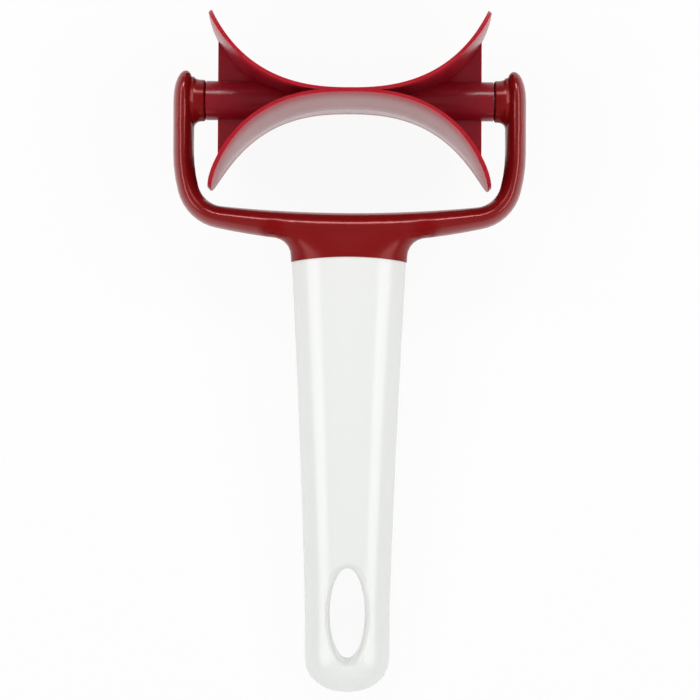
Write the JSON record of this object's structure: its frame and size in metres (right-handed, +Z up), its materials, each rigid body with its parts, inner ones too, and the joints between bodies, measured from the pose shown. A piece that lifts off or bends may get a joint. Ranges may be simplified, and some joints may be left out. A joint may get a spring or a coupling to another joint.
{
  "type": "pastry cutter roller",
  "caption": "Hand-held roller that cuts discs of pastry: a thin-walled, saddle-shaped cutting roller turns on pins in a U-shaped yoke, on a tapering grip with a hanging hole.",
  "frame": {"origin": "middle of the box round the whole tool, on the table that it lies on", "axes": "+Y from the grip to the roller, +Z up, X along the axle"},
  "size_m": [0.1034, 0.1986, 0.0528],
  "materials": {
    "roller_plastic": "glossy crimson",
    "yoke_plastic": "satin dark red",
    "grip_plastic": "glossy white",
    "pin_steel": "plain drawn steel"
  },
  "bodies": {
    "grip_and_yoke": {"handle": "grip_plastic", "yoke": "yoke_plastic", "axle_pin_left": "pin_steel", "axle_pin_right": "pin_steel"},
    "roller": {"cutter_roller": "roller_plastic"}
  },
  "joints": [
    {"name": "roller_spin", "type": "hinge", "parent": "grip_and_yoke", "child": "roller", "pos_m": [0, 0.07288, 0.0264], "axis": [1, 0, 0], "continuous": true}
  ]
}
